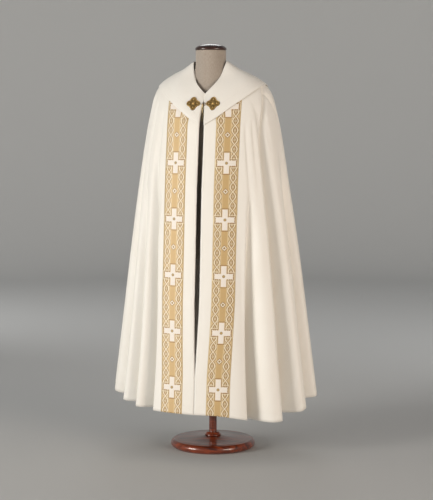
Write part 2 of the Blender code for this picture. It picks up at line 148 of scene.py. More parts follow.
rim = BASE_EDGE / 2
outline = [(0.0, 0.0), (BASE_RADIUS - rim, 0.0)]
for step in range(1, 20):
    bend = math.pi * step / 20
    outline.append((BASE_RADIUS - rim + rim * math.sin(bend), rim - rim * math.cos(bend)))
outline += [(BASE_RADIUS - rim, BASE_EDGE), (BASE_RADIUS - rim - 0.006, BASE_EDGE - GROOVE)]
slope_start = BASE_RADIUS - rim - 0.010
for step in range(11):
    share = step / 10
    outline.append((slope_start + (BOSS_RADIUS + 0.006 - slope_start) * share,
                    BASE_EDGE + BOSS_RISE * share ** 2))
for step in range(9):
    bend = math.pi * step / 8
    outline.append((BOSS_RADIUS + BOSS_FILLET * math.sin(bend),
                    BASE_EDGE + BOSS_RISE + BOSS_FILLET - BOSS_FILLET * math.cos(bend)))
outline += [(BOSS_RADIUS - 0.003, base_top - 0.003), (BOSS_RADIUS - 0.006, base_top), (0.0, base_top)]
show("turned_base", turn_on_lathe(outline, 128), beech, ["stand_base"])

pole_low, pole_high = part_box("stand_pole")
outline = [(0.0, pole_low[2])]
for step in range(13):
    outline.append((pole_high[0], pole_low[2] + (pole_high[2] - pole_low[2]) * step / 12))
outline.append((0.0, pole_high[2]))
show("turned_pole", turn_on_lathe(outline, 48), beech, ["stand_pole"])

# ---------------------------------------------------------------------------------------------------
# Form: a padded torso and neck covered with undyed linen, with a seam down the front and back.
# One ring a row gives its front, side and back line, and a grid bent round through them is closed at
# its seam and ends. The linen's threads are too fine to show, so they are drawn about 2 mm apart.
# ---------------------------------------------------------------------------------------------------

FORM_RINGS = (
    # front y, front z,  side x, side y, side z,  back y, back z
    (-0.0875, 1.637,  0.0615, -0.026, 1.637,  0.0355, 1.637),
    (-0.0875, 1.605,  0.0615, -0.026, 1.608,  0.0355, 1.608),
    (-0.0870, 1.550,  0.0620, -0.026, 1.583,  0.0370, 1.586),
    (-0.0860, 1.490,  0.0700, -0.025, 1.561,  0.0500, 1.566),
    (-0.0860, 1.430,  0.1060, -0.021, 1.545,  0.0700, 1.545),
    (-0.0960, 1.385,  0.1510, -0.016, 1.527,  0.0920, 1.503),
    (-0.1100, 1.350,  0.1890, -0.010, 1.505,  0.1080, 1.458),
    (-0.1190, 1.310,  0.2090, -0.004, 1.480,  0.1160, 1.410),
    (-0.1210, 1.250,  0.2130,  0.000, 1.440,  0.1200, 1.350),
    (-0.1180, 1.190,  0.2010,  0.000, 1.375,  0.1180, 1.285),
    (-0.1110, 1.120,  0.1790,  0.000, 1.270,  0.1100, 1.185),
    (-0.1050, 1.050,  0.1600,  0.000, 1.150,  0.1000, 1.085),
    (-0.1050, 0.990,  0.1550,  0.000, 1.040,  0.1000, 1.000),
    (-0.1110, 0.920,  0.1650,  0.000, 0.945,  0.1080, 0.925),
    (-0.1140, 0.855,  0.1720,  0.000, 0.860,  0.1140, 0.855),
    (-0.1100, 0.810,  0.1660,  0.000, 0.810,  0.1100, 0.810),
    (-0.0950, 0.790,  0.1480,  0.000, 0.790,  0.0950, 0.790),
)
SEAM_DEPTH = 0.0012
SEAM_REACH = 0.004                # half the width that a seam draws in
THREAD_SPACING = 0.002
TORSO_COLUMNS, TORSO_ROWS = 144, 150
VEE_SLOPE = 0.58                  # how much of a neckline's V is straight; the rest rounds off its top
VEE_TOP_POWER = 14


def ring_at(rings, level):
    """A smooth curve through the rows of a ring table, read at a level between its rows."""
    last = len(rings) - 1
    level = min(max(level, 0.0), float(last))
    here = min(int(level), last - 1)
    share = level - here
    before, start = rings[max(here - 1, 0)], rings[here]
    end, after = rings[here + 1], rings[min(here + 2, last)]
    values = []
    for a, b, c, d in zip(before, start, end, after):
        slope_in, slope_out = (c - a) / 2, (d - b) / 2
        values.append(
            b + slope_in * share
            + (3 * (c - b) - 2 * slope_in - slope_out) * share ** 2
            + (2 * (b - c) + slope_in + slope_out) * share ** 3
        )
    return values


def ring_point(rings, level, angle, neck_share=0.0):
    """Point of a ring at an angle from the front line; neck_share 1 gives the V of a neckline."""
    front_y, front_z, side_x, side_y, side_z, back_y, back_z = ring_at(rings, level)
    forward, sideways = math.cos(angle), math.sin(angle)
    end_y, end_z = (front_y, front_z) if forward >= 0 else (back_y, back_z)
    round_share = forward ** 2
    side = abs(sideways)
    vee_share = 1 - VEE_SLOPE * side - (1 - VEE_SLOPE) * side ** VEE_TOP_POWER
    if forward < 0:
        vee_share = round_share
    end_share = round_share + (vee_share - round_share) * neck_share
    return Vector((
        side_x * sideways,
        side_y + (end_y - side_y) * abs(forward),
        side_z + (end_z - side_z) * end_share,
    ))


def lay_grid(columns, rows, place, cloth_map=None):
    """A bmesh grid put where place(column share, row share) says.

    Its UV map "cloth" is in metres of cloth, or what cloth_map says, and "edges" holds the distance
    from the nearer end column and from the last row.
    """
    bm = bmesh.new()
    bmesh.ops.create_grid(bm, x_segments=columns, y_segments=rows, size=0.5)
    lattice = {}
    for vert in bm.verts:
        spot = round((vert.co.x + 0.5) * columns), round((vert.co.y + 0.5) * rows)
        lattice[spot] = vert
    for (column, row), vert in lattice.items():
        vert.co = place(column / columns, row / rows)
    across, down = {}, {}
    for column in range(columns + 1):
        for row in range(rows + 1):
            vert = lattice[column, row]
            before, above = lattice.get((column - 1, row)), lattice.get((column, row - 1))
            across[vert] = across[before] + (vert.co - before.co).length if before else 0.0
            down[vert] = down[above] + (vert.co - above.co).length if above else 0.0
    cloth, edges = bm.loops.layers.uv.new("cloth"), bm.loops.layers.uv.new("edges")
    spots = {vert: spot for spot, vert in lattice.items()}
    for face in bm.faces:
        for loop in face.loops:
            vert = loop.vert
            column, row = spots[vert]
            if cloth_map:
                loop[cloth].uv = cloth_map(column / columns, row / rows)
            else:
                loop[cloth].uv = (across[vert], down[vert])
            width, length = across[lattice[columns, row]], down[lattice[column, rows]]
            loop[edges].uv = (min(across[vert], width - across[vert]), length - down[vert])
    return bm


def torso_place(column, row):
    """A point of the padded form, drawn in a little where the front and back seams run."""
    angle = column * math.tau
    point = ring_point(FORM_RINGS, row * (len(FORM_RINGS) - 1), angle)
    drawn = math.exp(-(point.x / SEAM_REACH) ** 2) * SEAM_DEPTH
    return point + Vector((0, drawn if point.y < 0 else -drawn, 0)) * (0 < row < 1)


# Undyed linen in plain weave: a matt greyish beige, with thick and thin threads side by side.
linen, tree, shader = new_material("linen_plain_weave", 0.85, Sheen_Weight=0.25, Sheen_Roughness=0.5,
                                   Specular_IOR_Level=0.25)
cloth_map = add(tree, "ShaderNodeUVMap", uv_map="cloth")
split = add(tree, "ShaderNodeSeparateXYZ", {0: cloth_map}).node
threads = []
for axis in ("X", "Y"):
    turns = add(tree, "ShaderNodeMath", {0: split.outputs[axis], 1: math.tau / THREAD_SPACING},
                operation="MULTIPLY")
    threads.append(add(tree, "ShaderNodeMath", {0: turns}, operation="SINE"))
weave = add(tree, "ShaderNodeMath", {0: threads[0], 1: threads[1]}, operation="MULTIPLY")
slubs = add(tree, "ShaderNodeMapping", {"Vector": cloth_map, "Scale": (620.0, 90.0, 1.0)})
slub = add(tree, "ShaderNodeTexNoise", {"Vector": slubs, "Scale": 1.0, "Detail": 3.0})
tone = add(tree, "ShaderNodeMath", {0: weave, 1: 0.10, 2: slub}, operation="MULTIPLY_ADD")
share = add(tree, "ShaderNodeMapRange", {"Value": tone, "From Min": 0.15, "From Max": 0.85})
yarn = add(tree, "ShaderNodeMix", {"Factor": share, "A": linear("9c9084"), "B": linear("beb3a7")},
           data_type="RGBA").node
tree.links.new(yarn.outputs["Result"], shader.inputs["Base Color"])
tree.links.new(add(tree, "ShaderNodeBump", {"Height": tone, "Strength": 0.35, "Distance": 0.0006}),
               shader.inputs["Normal"])

bm = lay_grid(TORSO_COLUMNS, TORSO_ROWS, torso_place)
bmesh.ops.remove_doubles(bm, verts=bm.verts[:], dist=1e-6)
bmesh.ops.holes_fill(bm, edges=bm.edges[:])
bmesh.ops.recalc_face_normals(bm, faces=bm.faces[:])
show("linen_form", bm, linen, ["form_torso"], crease=60.0)

# ---------------------------------------------------------------------------------------------------
# Neck cap: a turned wooden lid on the form's neck, stained nearly black-brown, with a thick varnish
# that takes a clear highlight. It is turned like the base, with a small step at its foot.
# ---------------------------------------------------------------------------------------------------

# Close-grained wood, turned, stained and varnished: nearly black, brown only where light falls on it.
dark_wood = varnished_wood("cap_wood_dark_varnish", "1e0c06", "4a2616", (6.0, 1.5, 6.0))
cap_low, cap_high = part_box("neck_cap")
cap_radius = (cap_high[0] - cap_low[0]) / 2
cap_middle = ((cap_low[0] + cap_high[0]) / 2, (cap_low[1] + cap_high[1]) / 2, 0.0)
CAP_LIP = 0.005                   # upright foot below the dome
outline = [(0.0, cap_low[2]), (cap_radius - 0.0035, cap_low[2]),
           (cap_radius - 0.0012, cap_low[2] + 0.0012),
           (cap_radius - 0.0002, cap_low[2] + CAP_LIP * 0.7)]
for step in range(17):
    bend = math.pi / 2 * step / 16
    outline.append((cap_radius * math.cos(bend),
                    cap_low[2] + CAP_LIP + (cap_high[2] - cap_low[2] - CAP_LIP) * math.sin(bend)))
outline[-1] = (0.0, cap_high[2])
show("neck_cap_turned", turn_on_lathe(outline, 96, cap_middle), dark_wood, ["neck_cap"])

# ---------------------------------------------------------------------------------------------------
# Cope: two quarter circles of ivory satin, seamed at the centre back, that make a half circle. The
# straight sides are the front edges, and the fullness falls in organ-pipe folds. The tables hold the
# rings that the cloth follows, each half's valleys, the hem's shifts, the opening and small creases.
# ---------------------------------------------------------------------------------------------------

COPE_RINGS = (
    # front y, front z,  side x, side y, side z,  back y, back z
    (-0.096, 1.456,  0.067, -0.028, 1.588,  0.046, 1.588),
    (-0.119, 1.415,  0.112, -0.025, 1.558,  0.078, 1.553),
    (-0.137, 1.370,  0.155, -0.018, 1.538,  0.100, 1.512),
    (-0.147, 1.325,  0.196, -0.010, 1.515,  0.118, 1.468),
    (-0.152, 1.280,  0.230, -0.002, 1.487,  0.134, 1.420),
    (-0.158, 1.230,  0.250,  0.003, 1.451,  0.147, 1.365),
    (-0.165, 1.170,  0.263,  0.006, 1.402,  0.158, 1.300),
    (-0.176, 1.080,  0.282,  0.009, 1.315,  0.172, 1.200),
    (-0.186, 0.940,  0.309,  0.012, 1.160,  0.192, 1.040),
    (-0.197, 0.770,  0.341,  0.014, 0.955,  0.214, 0.850),
    (-0.211, 0.590,  0.371,  0.016, 0.745,  0.236, 0.650),
    (-0.231, 0.385,  0.403,  0.018, 0.500,  0.260, 0.430),
    (-0.250, 0.178,  0.437,  0.020, 0.238,  0.285, 0.220),
)
HEM = len(COPE_RINGS) - 1
NECKLINE = 0.3                    # level of the cope's own neckline, under the collar
NECK_LEVELS = 2.2                 # the V of the neckline fades out over this many rings
BAND_INSET = 0.050                # front edge of the cope to the band
BAND_WIDTH = 0.094
FIRST_VALLEY_REACH = 6.5          # degrees from the flat front panel to the first valley
LEAN_TOP = 1.45                   # height where valleys reach their top angle
DEEPEST_AT = 0.2                  # height where they reach their full depth
FOLD_EASE = 0.10                  # how gently they start
SHOULDER_WIDTH = 0.2              # above the level of this half width the bands spread less
NARROW_SPREAD = 0.35
PANEL_LEAST, PIPE_LEAST = 1.5, 2.0   # degrees kept at least for the flat panel and the first fold

LEFT_FOLDS = (
    # hem angle, top angle, depth, sharpness, height where the valley starts
    (35.0,  46.0, 0.155, 2.0, 1.10),
    (61.0,  58.0, 0.130, 2.1, 1.47),
    (80.0,  82.0, 0.115, 1.9, 1.33),
    (102.0, 104.0, 0.125, 2.2, 1.38),
    (123.0, 124.0, 0.115, 1.9, 1.30),
    (143.0, 143.0, 0.130, 2.1, 1.22),
    (163.0, 163.0, 0.110, 1.9, 1.12),
)
RIGHT_FOLDS = (
    (30.0,  50.0, 0.130, 1.8, 1.30),
    (44.0,  62.0, 0.085, 1.7, 1.20),
    (56.5,  73.0, 0.095, 1.8, 1.36),
    (77.0,  86.0, 0.125, 2.1, 1.28),
    (99.0, 104.0, 0.115, 2.0, 1.40),
    (121.0, 122.0, 0.130, 2.2, 1.30),
    (143.0, 143.0, 0.115, 1.9, 1.20),
    (163.0, 163.0, 0.125, 2.0, 1.10),
)
HEM_SHIFTS = (
    # centre angle (+ is the wearer's left), half width, shift
    (52.0, 46.0, -0.060),
    (-40.0, 34.0, -0.012),
    (-86.0, 30.0, 0.008),
)
OPENING = (
    # height, width between the front edges
    (1.460, 0.0020),
    (1.432, 0.0030),
    (1.412, 0.0110),
    (1.380, 0.0160),
    (1.320, 0.0200),
    (0.620, 0.0200),
    (0.480, 0.0120),
    (0.330, 0.0010),
    (0.150, 0.0010),
)
CREASES = (
    # top angle (+ is the wearer's left), bottom angle, bend, half width, depth, from level, to level
    (79.0, 56.5, 4.0, 3.0, 0.0230, 3.7, 12.4),
    (73.0, 92.0, 1.0, 2.8, 0.0100, 4.0, 7.2),
    (44.0, 40.0, 1.5, 2.6, 0.0040, 4.6, 10.5),
    (51.0, 47.5, 1.2, 2.2, 0.0028, 5.0, 9.0),
    (66.0, 67.0, 1.0, 2.2, 0.0035, 5.0, 8.5),
    (90.0, 95.0, 1.0, 2.4, 0.0080, 5.6, 9.6),
    (31.5, 31.5, 1.0, 9.0, 0.0140, 8.0, 17.0),
    (112.0, 112.0, 1.0, 3.0, 0.0070, 4.4, 8.5),
    (131.0, 133.4, 1.0, 3.4, 0.0055, 4.8, 9.5),
    (152.0, 152.0, 1.0, 3.0, 0.0050, 5.2, 9.0),
    (172.0, 172.0, 1.0, 3.2, 0.0045, 5.4, 9.5),
    (-36.5, -28.5, 1.0, 2.8, 0.0140, 7.6, 15.0),
    (-49.0, -41.5, 1.5, 2.8, 0.0065, 4.1, 8.8),
    (-60.5, -56.0, 1.5, 2.4, 0.0080, 4.2, 9.4),
    (-70.0, -73.5, 1.0, 2.6, 0.0080, 4.1, 7.6),
    (-82.0, -84.0, 1.0, 2.6, 0.0065, 4.4, 8.0),
    (-94.0, -92.0, 1.0, 3.2, 0.0065, 4.5, 8.8),
    (-113.0, -110.0, 1.0, 3.0, 0.0060, 4.7, 9.2),
    (-133.0, -132.0, 1.0, 3.4, 0.0055, 5.0, 9.0),
    (-154.0, -152.0, 1.0, 3.0, 0.0050, 5.2, 9.4),
    (-171.0, -171.0, 1.0, 3.0, 0.0045, 5.4, 8.6),
)
STEEP_SIDE = 0.55                 # a crease's side towards the front, as a share of its half width
RIPPLE_DEPTH = 0.0011             # puckers along the faced front edges
RIPPLE_TOP = 4                    # level where they begin


def step_between(rows, key):
    """Straight interpolation in rows of (key, value), in rising or falling order of key."""
    ordered = rows if rows[0][0] < rows[-1][0] else tuple(reversed(rows))
    key = min(max(key, ordered[0][0]), ordered[-1][0])
    for low, high in zip(ordered, ordered[1:]):
        if key <= high[0]:
            share = (key - low[0]) / (high[0] - low[0])
            return low[1] + (high[1] - low[1]) * share
    return ordered[-1][1]


def smooth_cloth(level, angle):
    """The cope's outer surface before its folds."""
    neck_share = max(0.0, 1 - level / NECK_LEVELS) ** 1.5
    point = ring_point(COPE_RINGS, level, angle, neck_share)
    degrees = math.degrees(angle)
    lowness = (level / HEM) ** 3
    for centre, half_width, shift in HEM_SHIFTS:
        reach = abs(degrees - centre) / half_width
        if reach < 1:
            point.z += shift * lowness * (1 + math.cos(math.pi * reach)) / 2
    return point


def fold_angles(folds, level):
    """Angles of crest, valley, crest ... at a level, from the flat panel to the centre back."""
    side_z = ring_at(COPE_RINGS, level)[4]
    hem_z = COPE_RINGS[HEM][4]
    lean = min(max((side_z - hem_z) / (LEAN_TOP - hem_z), 0.0), 1.0) ** 2
    valleys = [hem + (top - hem) * lean for hem, top, _, _, _ in folds]
    angles = [valleys[0] - FIRST_VALLEY_REACH]
    for valley, following in zip(valleys, valleys[1:] + [None]):
        crest = 180.0 if following is None else (valley + following) / 2
        angles += [valley, crest]
    return angles


def fold_depth(folds, pipe, height):
    """How far the cloth is drawn in at a place counted in pipes: 0 is the panel, 0.5 a valley."""
    number = min(int(pipe), len(folds) - 1)
    _, _, depth, sharpness, start = folds[number]
    fall = (start - height) / (start - DEEPEST_AT)
    if fall <= 0 or pipe < 0:
        return 0.0
    growth = fall * fall / (fall + FOLD_EASE) * (1 + FOLD_EASE)
    across = (1 - math.cos(2 * math.pi * (pipe - number))) / 2
    return depth * growth * across ** sharpness


def crease_depth(level, degrees):
    """How far the small creases draw the cloth in at a level and an angle from the front."""
    depth = 0.0
    for top, bottom, bend, half_width, deepest, start, end in CREASES:
        run = (level - start) / (end - start)
        if 0 < run < 1:
            centre = bottom + (top - bottom) * (1 - run) ** bend
            off = (degrees - centre) / half_width
            if off * centre < 0:
                off /= STEEP_SIDE
            fade = math.sin(math.pi * run ** 0.6) ** 1.5
            depth += deepest * fade * math.exp(-off * off)
    return depth


def edge_ripple(level, place):
    """Slight pucker along the faced front edge: ripples 3 cm long at the top and 12 cm at the hem."""
    if place > 1 or level < RIPPLE_TOP:
        return 0.0
    fade = (1 - place) * min((level - RIPPLE_TOP) / 2, 1.0)
    return RIPPLE_DEPTH * fade * math.sin(level * 11.0) * math.sin(level * 2.3 + 1.0)


def cope_angle(folds, level, place):
    """Angle in radians of a place: 0 to 1 to the band, 1 to 2 the band, 2 to 3 beyond, then pipes."""
    _, front_z, side_x = ring_at(COPE_RINGS, level)[:3]
    half_opening = step_between(OPENING, front_z) / 2
    widest = side_x + NARROW_SPREAD * max(0.0, SHOULDER_WIDTH - side_x)
    across = BAND_INSET * min(place, 1.0) + BAND_WIDTH * min(max(place - 1.0, 0.0), 1.0)
    at_band = math.asin(min((half_opening + across) / widest, 0.97))
    if place <= 2:
        return at_band
    turns = fold_angles(folds, level)
    stops = [math.degrees(at_band)]
    stops.append(max(turns[0], stops[0] + PANEL_LEAST))
    stops += [max(turn, stops[1] + PIPE_LEAST + number) for number, turn in enumerate(turns[1:])]
    run = (place - 2) if place <= 3 else 1 + (place - 3) * 2
    first = min(int(run), len(stops) - 2)
    return math.radians(stops[first] + (stops[first + 1] - stops[first]) * (run - first))


def cope_point(side, folds, level, place):
    """Outer surface of one half; side is +1 for the wearer's left half."""
    angle = side * cope_angle(folds, level, place)
    point = smooth_cloth(level, angle)
    drawn_in = crease_depth(level, math.degrees(angle)) + edge_ripple(level, place)
    if place > 3:
        drawn_in += fold_depth(folds, place - 3, point.z)
    reach = math.hypot(point.x, point.y)
    shrink = 1 - drawn_in / reach
    return Vector((point.x * shrink, point.y * shrink, point.z))


def lifted(surface, level, place, side, lift):
    """A point of surface(level, place) moved out along its normal."""
    small = 0.02
    down = surface(level + small, place) - surface(level - small, place)
    along = surface(level, place + small) - surface(level, place - small)
    return surface(level, place) + (along.cross(down) * -side).normalized() * lift


def wall(piece, thickness):
    """Gives a sheet its thickness, inwards from the face that shows."""
    solid = piece.modifiers.new("cloth_thickness", "SOLIDIFY")
    solid.thickness = thickness
    solid.offset = -1


HEM_SEAM = 0.035                  # line of stitches above the hem
FACING_SEAM = 0.010               # line of stitches inside the front edges
STITCH_HALF_WIDTH = 0.0006

# Polyester satin: long floating threads give its creamy white a soft sheen along the folds, and the
# cloth puckers a little in faint streaks of about 11 by 60 cm. The threads are too fine to show and
# are drawn about 1 mm apart. Stitches draw a fine line inside the sewn edges.
satin, tree, shader = new_material("ivory_satin", 0.46, Sheen_Weight=0.18, Sheen_Roughness=0.35,
                                   Specular_IOR_Level=0.38, Anisotropic=0.35)
cloth_map = add(tree, "ShaderNodeUVMap", uv_map="cloth")
fine = add(tree, "ShaderNodeMapping", {"Vector": cloth_map, "Scale": (900.0, 90.0, 1.0)})
float_threads = add(tree, "ShaderNodeTexNoise", {"Vector": fine, "Scale": 1.0, "Detail": 2.0})
broad = add(tree, "ShaderNodeMapping", {"Vector": cloth_map, "Scale": (9.0, 1.6, 1.0)})
drape_tone = add(tree, "ShaderNodeTexNoise", {"Vector": broad, "Scale": 1.0, "Detail": 3.0})
share = add(tree, "ShaderNodeMath", {0: float_threads, 1: 0.35, 2: drape_tone},
            operation="MULTIPLY_ADD")
ivory = add(tree, "ShaderNodeMix", {"Factor": share, "A": linear("f3ede2"), "B": linear("fcfaf4")},
            data_type="RGBA").node
tree.links.new(ivory.outputs["Result"], shader.inputs["Base Color"])
edge_map = add(tree, "ShaderNodeUVMap", uv_map="edges")
split = add(tree, "ShaderNodeSeparateXYZ", {0: edge_map}).node
seams = []
for axis, seam in (("X", FACING_SEAM), ("Y", HEM_SEAM)):
    seams.append(add(tree, "ShaderNodeMath", {0: split.outputs[axis], 1: seam, 2: STITCH_HALF_WIDTH},
                     operation="COMPARE"))
seam_line = add(tree, "ShaderNodeMath", {0: seams[0], 1: seams[1]}, operation="MAXIMUM")
sewn = add(tree, "ShaderNodeBump", {"Height": seam_line, "Strength": 0.6, "Distance": 0.0006},
           invert=True)
ripples = add(tree, "ShaderNodeBump", {"Height": drape_tone, "Strength": 0.18, "Distance": 0.012,
                                       "Normal": sewn})
threads = add(tree, "ShaderNodeBump", {"Height": float_threads, "Strength": 0.10, "Distance": 0.0004,
                                       "Normal": ripples})
tree.links.new(threads, shader.inputs["Normal"])

LEFT, RIGHT = 1, -1
HALVES = ((LEFT, LEFT_FOLDS, "left"), (RIGHT, RIGHT_FOLDS, "right"))
COPE_WALL = 0.0016
PANEL_COLUMNS, PIPE_COLUMNS, DOWN_ROWS = 24, 20, 140   # grid steps of the panel, a fold, the length
for side, folds, name in HALVES:
    columns = PANEL_COLUMNS + PIPE_COLUMNS * len(folds)

    def half_place(column, row, side=side, folds=folds, columns=columns):
        """A point of this half, from its front edge to the centre back and from neck to hem."""
        number = column * columns
        if number <= PANEL_COLUMNS:
            place = 3 * number / PANEL_COLUMNS
        else:
            place = 3 + (number - PANEL_COLUMNS) / PIPE_COLUMNS
        level = NECKLINE + (HEM - NECKLINE) * row
        return cope_point(side, folds, level, place)

    bm = lay_grid(columns, DOWN_ROWS, half_place)
    if side == RIGHT:
        bmesh.ops.reverse_faces(bm, faces=bm.faces[:])
    half = show(f"cope_{name}_satin", bm, satin, [f"cope_{name}_half"], crease=80.0)
    wall(half, COPE_WALL)

# ---------------------------------------------------------------------------------------------------
# Orphreys: two bands of gold and cream brocade, 94 mm wide, sewn flat down each side of the opening
# from under the collar to the hem. Their woven pattern repeats with a cross, a small rosette, a plain
# ribbed middle column, two crossing cream strands a side, and beaded borders.
# ---------------------------------------------------------------------------------------------------

BAND_LIFT = 0.0013                # the band's face above the satin
BAND_WALL = 0.0008
BAND_TOP_LEVEL = 1.75
FIRST_CROSS = 0.283               # height of the lowest cross's centre
REPEAT = 225.2                    # millimetres from cross to cross
ARM_WIDTH, ARM_UPRIGHT, ARM_LEVEL = 10.5, 41.5, 36.5   # half sizes of the cross, in millimetres
MIDDLE_COLUMN = 11.5              # half width
BORDER = 43.0                     # middle of the band to its beaded border
STRAND_MIDDLE, STRAND_SWING, STRAND_WAVE = 28.0, 10.5, 75.0
RIB_SPACING, BEAD_SPACING = 2.4, 5.0
BAND_COLUMNS, BAND_ROWS = 16, 260

# Brocade of gold and cream rayon: a warm, barely metallic gold, its cream figures raised a little,
# its threads slightly lighter or darker than one another. They are too fine to show and are drawn
# under 1 mm apart. Patterns are in millimetres on the cloth.
brocade, tree, shader = new_material("gold_brocade", 0.50, Sheen_Weight=0.10)
cloth_map = add(tree, "ShaderNodeUVMap", uv_map="cloth")
in_mm = add(tree, "ShaderNodeVectorMath", {0: cloth_map, 1: (1000.0, 1000.0, 0.0)}, operation="MULTIPLY")
in_mm = add(tree, "ShaderNodeSeparateXYZ", {0: in_mm}).node
from_middle = add(tree, "ShaderNodeMath", {0: in_mm.outputs["X"], 1: BAND_WIDTH * 500},
                  operation="SUBTRACT")
off = add(tree, "ShaderNodeMath", {0: from_middle}, operation="ABSOLUTE")
along = add(tree, "ShaderNodeMath", {0: in_mm.outputs["Y"], 1: REPEAT / 2, 2: -REPEAT / 2},
            operation="WRAP")
rise = add(tree, "ShaderNodeMath", {0: along}, operation="ABSOLUTE")

# The cross: the nearer of two boxes, as a distance from its outline that is negative inside.
box_parts = []
for half_across, half_rise in ((ARM_WIDTH, ARM_UPRIGHT), (ARM_LEVEL, ARM_WIDTH)):
    sideways = add(tree, "ShaderNodeMath", {0: off, 1: half_across}, operation="SUBTRACT")
    upwards = add(tree, "ShaderNodeMath", {0: rise, 1: half_rise}, operation="SUBTRACT")
    box_parts.append(add(tree, "ShaderNodeMath", {0: sideways, 1: upwards}, operation="MAXIMUM"))
from_cross = add(tree, "ShaderNodeMath", {0: box_parts[0], 1: box_parts[1]}, operation="MINIMUM")
cross = add(tree, "ShaderNodeMapRange", {"Value": from_cross, "From Min": 0.4, "From Max": -0.4})
cross_ground = add(tree, "ShaderNodeMath", {0: from_cross, 1: 3.4, 2: 1.3}, operation="COMPARE")

# Its middle: a small gold eye in a dark ring.
square = add(tree, "ShaderNodeMath", {0: rise, 1: rise}, operation="MULTIPLY")
square = add(tree, "ShaderNodeMath", {0: off, 1: off, 2: square}, operation="MULTIPLY_ADD")
from_eye = add(tree, "ShaderNodeMath", {0: square}, operation="SQRT")
eye = add(tree, "ShaderNodeMath", {0: from_eye, 1: 4.4}, operation="LESS_THAN")
eye_ring = add(tree, "ShaderNodeMath", {0: from_eye, 1: 5.0, 2: 0.9}, operation="COMPARE")

# The rosette halfway between two crosses: a cream lozenge ring round a dark dot.
from_half = add(tree, "ShaderNodeMath", {0: REPEAT / 2, 1: rise}, operation="SUBTRACT")
lozenge = add(tree, "ShaderNodeMath", {0: off, 1: from_half}, operation="ADD")
rosette = add(tree, "ShaderNodeMath", {0: lozenge, 1: 7.8, 2: 2.4}, operation="COMPARE")
rosette_edge = add(tree, "ShaderNodeMath", {0: lozenge, 1: 11.8, 2: 1.6}, operation="COMPARE")
rosette_dot = add(tree, "ShaderNodeMath", {0: lozenge, 1: 5.0}, operation="LESS_THAN")

# The middle column: plain gold in fine cross ribs between two light lines.
middle = add(tree, "ShaderNodeMath", {0: off, 1: MIDDLE_COLUMN}, operation="LESS_THAN")
middle_line = add(tree, "ShaderNodeMath", {0: off, 1: MIDDLE_COLUMN + 1.2, 2: 1.0}, operation="COMPARE")
frame_line = add(tree, "ShaderNodeMath", {0: from_cross, 1: 6.6, 2: 1.1}, operation="COMPARE")
turns = add(tree, "ShaderNodeMath", {0: in_mm.outputs["Y"], 1: math.tau / RIB_SPACING},
            operation="MULTIPLY")
ribs = add(tree, "ShaderNodeMath", {0: turns}, operation="SINE")

# The side columns: two strands that cross each other, with a small ring on dark ground in each loop.
turns = add(tree, "ShaderNodeMath", {0: in_mm.outputs["Y"], 1: math.tau / STRAND_WAVE},
            operation="MULTIPLY")
wave = add(tree, "ShaderNodeMath", {0: turns}, operation="SINE")
strands, strand_edges = [], []
for swing in (STRAND_SWING, -STRAND_SWING):
    middle_of = add(tree, "ShaderNodeMath", {0: wave, 1: swing, 2: STRAND_MIDDLE},
                    operation="MULTIPLY_ADD")
    away = add(tree, "ShaderNodeMath", {0: off, 1: middle_of}, operation="SUBTRACT")
    away = add(tree, "ShaderNodeMath", {0: away}, operation="ABSOLUTE")
    strands.append(add(tree, "ShaderNodeMapRange", {"Value": away, "From Min": 2.8, "From Max": 1.9}))
    strand_edges.append(add(tree, "ShaderNodeMath", {0: away, 1: 4.1, 2: 1.4}, operation="COMPARE"))
strand = add(tree, "ShaderNodeMath", {0: strands[0], 1: strands[1]}, operation="MAXIMUM")
strand_edge = add(tree, "ShaderNodeMath", {0: strand_edges[0], 1: strand_edges[1]}, operation="MAXIMUM")
in_loop = add(tree, "ShaderNodeMath", {0: in_mm.outputs["Y"], 1: STRAND_WAVE / 2, 2: 0.0},
              operation="WRAP")
in_loop = add(tree, "ShaderNodeMath", {0: in_loop, 1: STRAND_WAVE / 4}, operation="SUBTRACT")
square = add(tree, "ShaderNodeMath", {0: in_loop, 1: in_loop}, operation="MULTIPLY")
sideways = add(tree, "ShaderNodeMath", {0: off, 1: STRAND_MIDDLE}, operation="SUBTRACT")
square = add(tree, "ShaderNodeMath", {0: sideways, 1: sideways, 2: square}, operation="MULTIPLY_ADD")
from_scroll = add(tree, "ShaderNodeMath", {0: square}, operation="SQRT")
scroll = add(tree, "ShaderNodeMath", {0: from_scroll, 1: 3.4, 2: 0.9}, operation="COMPARE")
scroll_ground = add(tree, "ShaderNodeMath", {0: from_scroll, 1: 7.2}, operation="LESS_THAN")
cream_work = add(tree, "ShaderNodeMath", {0: strand, 1: scroll}, operation="MAXIMUM")

# Filigree between the strands: thin veins a few millimetres apart, as fine leaves weave.
veins = add(tree, "ShaderNodeTexVoronoi", {"Vector": cloth_map, "Scale": 165.0, "Randomness": 0.75},
            feature="DISTANCE_TO_EDGE")
vein = add(tree, "ShaderNodeMapRange", {"Value": veins, "From Min": 0.11, "From Max": 0.05})
specks = add(tree, "ShaderNodeTexNoise", {"Vector": cloth_map, "Scale": 260.0, "Detail": 3.0,
                                          "Roughness": 0.65})
side_column = add(tree, "ShaderNodeMath", {0: off, 1: MIDDLE_COLUMN + 2.2}, operation="GREATER_THAN")

